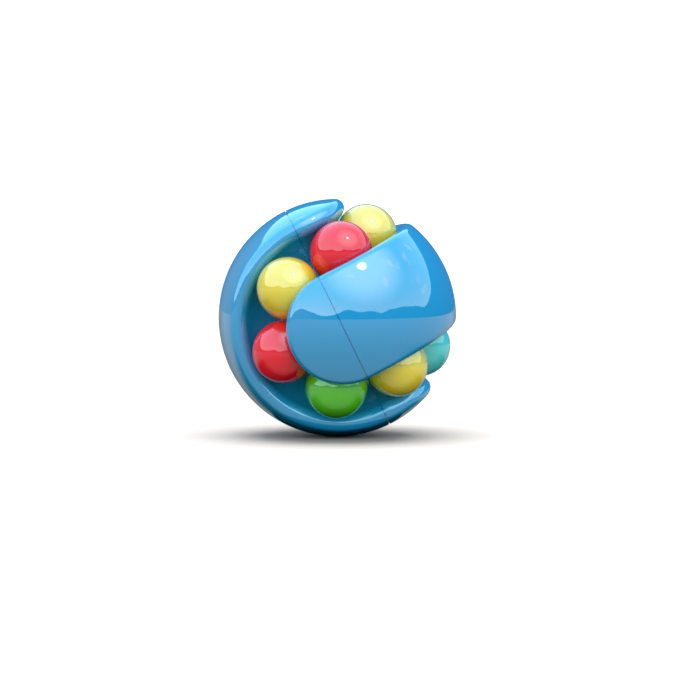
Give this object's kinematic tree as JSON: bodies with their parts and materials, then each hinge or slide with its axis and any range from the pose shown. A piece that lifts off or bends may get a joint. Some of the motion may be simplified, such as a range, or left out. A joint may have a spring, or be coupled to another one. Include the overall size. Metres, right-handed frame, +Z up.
{
  "type": "ball maze puzzle sphere",
  "caption": "Twisting sphere puzzle with an endless curved track of coloured balls held in open channels between two turning halves.",
  "frame": {"origin": "centre of the sphere, on the axle, in the plane where the two halves meet", "axes": "+Z up as the puzzle lies; the axle rises 26 degrees above +X in the X-Z plane; the round front cap faces -Y"},
  "size_m": [0.0699, 0.0698, 0.0698],
  "materials": {
    "body_gloss_blue": "high-gloss injection-moulded ABS, sky blue",
    "ball_yellow": "glossy pale yellow moulded ball",
    "ball_red": "glossy red moulded ball",
    "ball_green": "glossy green moulded ball",
    "ball_turquoise": "glossy turquoise moulded ball",
    "zinc_steel": "zinc-plated steel",
    "spring_steel": "bright drawn spring wire",
    "natural_nylon": "natural white nylon"
  },
  "bodies": {
    "left_half": {"left_hub": "body_gloss_blue", "left_bridge": "body_gloss_blue", "left_pole_plug": "body_gloss_blue", "left_bridge_screw_1": "zinc_steel", "left_bridge_screw_2": "zinc_steel", "axle_screw": "zinc_steel", "axle_nut": "zinc_steel", "head_washer": "zinc_steel", "thrust_washer": "natural_nylon"},
    "right_half": {"right_hub": "body_gloss_blue", "right_bridge": "body_gloss_blue", "right_pole_plug": "body_gloss_blue", "right_bridge_screw_1": "zinc_steel", "right_bridge_screw_2": "zinc_steel", "axle_spring": "spring_steel"},
    "front_balls": {"front_ball_yellow": "ball_yellow", "front_ball_red": "ball_red", "front_ball_green": "ball_green"},
    "back_balls": {"back_ball_turquoise": "ball_turquoise", "back_ball_red": "ball_red", "back_ball_green": "ball_green"},
    "lower_balls": {"lower_ball_yellow": "ball_yellow", "lower_ball_turquoise": "ball_turquoise", "lower_ball_green": "ball_green"},
    "upper_balls": {"upper_ball_turquoise": "ball_turquoise", "upper_ball_yellow": "ball_yellow", "upper_ball_red": "ball_red"}
  },
  "joints": [
    {"name": "half_turn", "type": "hinge", "parent": "left_half", "child": "right_half", "pos_m": [0, 0, 0], "axis": [0.8988, 0, 0.4384], "range_deg": [-180, 180]},
    {"name": "ball_run", "type": "hinge", "parent": "left_half", "child": "front_balls", "pos_m": [0, 0, 0], "axis": [-0.0321, 0.9973, 0.0658], "range_deg": [-30, 30]},
    {"name": "back_run", "type": "hinge", "parent": "left_half", "child": "back_balls", "pos_m": [0, 0, 0], "axis": [0.0321, -0.9973, -0.0658], "range_deg": [-30, 30]},
    {"name": "lower_run", "type": "hinge", "parent": "right_half", "child": "lower_balls", "pos_m": [0, 0, 0], "axis": [0.4372, 0.0732, -0.8964], "range_deg": [-30, 30]},
    {"name": "upper_run", "type": "hinge", "parent": "right_half", "child": "upper_balls", "pos_m": [0, 0, 0], "axis": [-0.4372, -0.0732, 0.8964], "range_deg": [-30, 30]}
  ],
  "couplings": [
    {"joint": "back_run", "follows": "ball_run", "ratio": 1},
    {"joint": "lower_run", "follows": "ball_run", "ratio": 1},
    {"joint": "upper_run", "follows": "ball_run", "ratio": 1}
  ]
}
